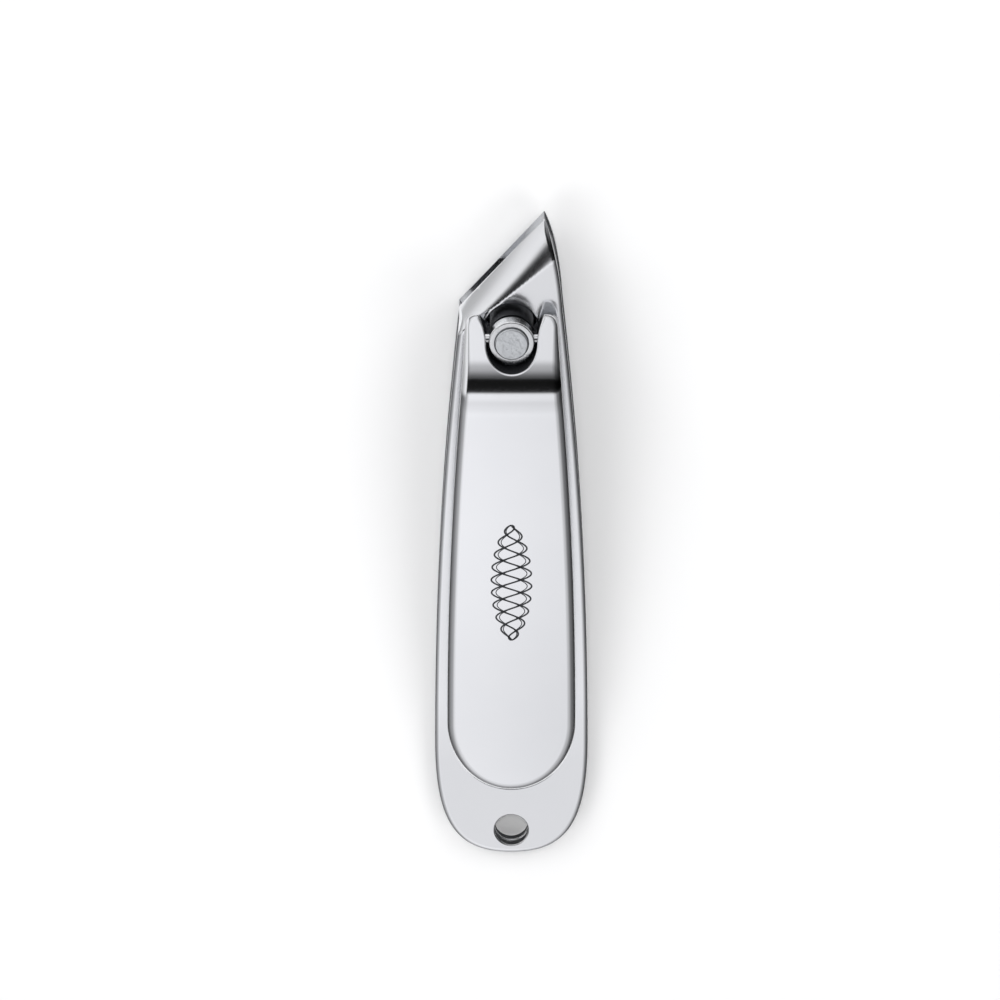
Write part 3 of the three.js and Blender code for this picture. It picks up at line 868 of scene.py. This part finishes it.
def studio_world(stops, sides, flank, strength):
    """Light from all round, as brightness levels.

    stops run by degrees from straight up towards +Y, and sides multiply them by how far a direction
    points to +X. flank replaces both where directions point to -X and ahead, as the jaw's face does.
    """
    world = bpy.data.worlds.new("studio")
    world.use_nodes = True
    tree = world.node_tree
    tree.nodes.clear()
    link = tree.links.new
    place = node(tree, "ShaderNodeTexCoord", (-1100, 0))
    split = node(tree, "ShaderNodeSeparateXYZ", (-900, 0))
    link(place.outputs["Generated"], split.inputs[0])
    angle = node(tree, "ShaderNodeMath", (-700, 100), operation="ARCTAN2")
    link(split.outputs["Y"], angle.inputs[0])
    link(split.outputs["Z"], angle.inputs[1])
    share = node(tree, "ShaderNodeMapRange", (-520, 100))
    share.inputs["From Min"].default_value = -math.pi
    share.inputs["From Max"].default_value = math.pi
    link(angle.outputs[0], share.inputs["Value"])
    bands = node(tree, "ShaderNodeValToRGB", (-320, 100))
    fill_ramp(bands.color_ramp, [((degrees + 180) / 360, level) for degrees, level in stops])
    link(share.outputs[0], bands.inputs[0])
    across = node(tree, "ShaderNodeMapRange", (-520, -200))
    across.inputs["From Min"].default_value = -1
    across.inputs["From Max"].default_value = 1
    link(split.outputs["X"], across.inputs["Value"])
    wings = node(tree, "ShaderNodeValToRGB", (-320, -200))
    fill_ramp(wings.color_ramp, [((x + 1) / 2, level) for x, level in sides])
    link(across.outputs[0], wings.inputs[0])
    product = node(tree, "ShaderNodeMix", (0, 0), data_type="RGBA", blend_type="MULTIPLY")
    product.inputs[0].default_value = 1
    link(bands.outputs[0], product.inputs[6])
    link(wings.outputs[0], product.inputs[7])
    ahead = node(tree, "ShaderNodeMapRange", (-320, -450), interpolation_type="SMOOTHSTEP")
    ahead.inputs["From Min"].default_value = FLANK_Y[0]
    ahead.inputs["From Max"].default_value = FLANK_Y[1]
    link(split.outputs["Y"], ahead.inputs["Value"])
    glow = node(tree, "ShaderNodeValToRGB", (-320, -700))
    fill_ramp(glow.color_ramp, [((x + 1) / 2, level) for x, level in flank])
    link(across.outputs[0], glow.inputs[0])
    reach = node(tree, "ShaderNodeMapRange", (-520, -500), interpolation_type="SMOOTHSTEP")
    reach.inputs["From Min"].default_value = FLANK_X[0]
    reach.inputs["From Max"].default_value = FLANK_X[1]
    link(split.outputs["X"], reach.inputs["Value"])
    share_of = node(tree, "ShaderNodeMath", (-100, -450), operation="MULTIPLY")
    link(ahead.outputs[0], share_of.inputs[0])
    link(reach.outputs[0], share_of.inputs[1])
    whole = node(tree, "ShaderNodeMix", (100, -200), data_type="RGBA")
    link(share_of.outputs[0], whole.inputs[0])
    link(product.outputs[2], whole.inputs[6])
    link(glow.outputs[0], whole.inputs[7])
    light = node(tree, "ShaderNodeBackground", (200, 0), Strength=strength)
    link(whole.outputs[2], light.inputs["Color"])
    out = node(tree, "ShaderNodeOutputWorld", (400, 0))
    link(light.outputs[0], out.inputs[0])
    bpy.context.scene.world = world


def fill_ramp(ramp, stops):
    ramp.interpolation = "EASE"
    for position, level in stops[1:-1]:
        ramp.elements.new(position)
    for element, (position, level) in zip(ramp.elements, stops):
        element.position = position
        element.color = (level, level, level * 1.01, 1)


BANDS = [(-180, 0.5), (-95, 0.06), (-80, 0.35), (-60, 0.8), (-42, 1.0), (-30, 0.9), (-21, 0.84),
         (-12, 0.97), (-5, 1.0), (-1, 0.01), (21, 0.005), (24, 0.1), (40, 0.5), (54, 0.95),
         (74, 0.9), (86, 0.25), (95, 0.05), (180, 0.5)]
SIDES = [(-1, 0.08), (-0.85, 0.16), (-0.5, 0.45), (-0.25, 0.9), (-0.08, 1), (0.08, 0.88),
         (0.3, 0.62), (0.6, 0.2), (0.85, 0.05), (1, 0.03)]
FLANK = [(-1, 0.3), (-0.9, 0.5), (-0.72, 0.85), (-0.6, 0.95), (0, 0.95)]
FLANK_X = (-0.5, -0.58)
FLANK_Y = (-0.2, -0.04)
studio_world(BANDS, SIDES, FLANK, 1.0)


def softbox(name, direction, distance, size, energy):
    """A round lamp that lights the floor and isn't seen in the steel."""
    lamp = bpy.data.lights.new(name, "AREA")
    lamp.shape = "DISK"
    lamp.size = size
    lamp.energy = energy
    box = bpy.data.objects.new(name, lamp)
    box.location = Vector(direction).normalized() * distance
    box.rotation_euler = Vector(direction).to_track_quat("Z", "Y").to_euler()
    box.visible_camera = False
    box.visible_glossy = False
    bpy.context.scene.collection.objects.link(box)


for number, (x, y) in enumerate(((-1, -0.6), (1, -0.6), (0.9, 1), (-0.9, 1))):
    softbox(f"fill_{number}", (x, y, 1.3), 1.4, 0.9, 4.5)
softbox("front_light", (0, math.sin(TILT), math.cos(TILT)), 1.6, 0.5, 6)
bpy.context.scene.view_settings.view_transform = "Standard"
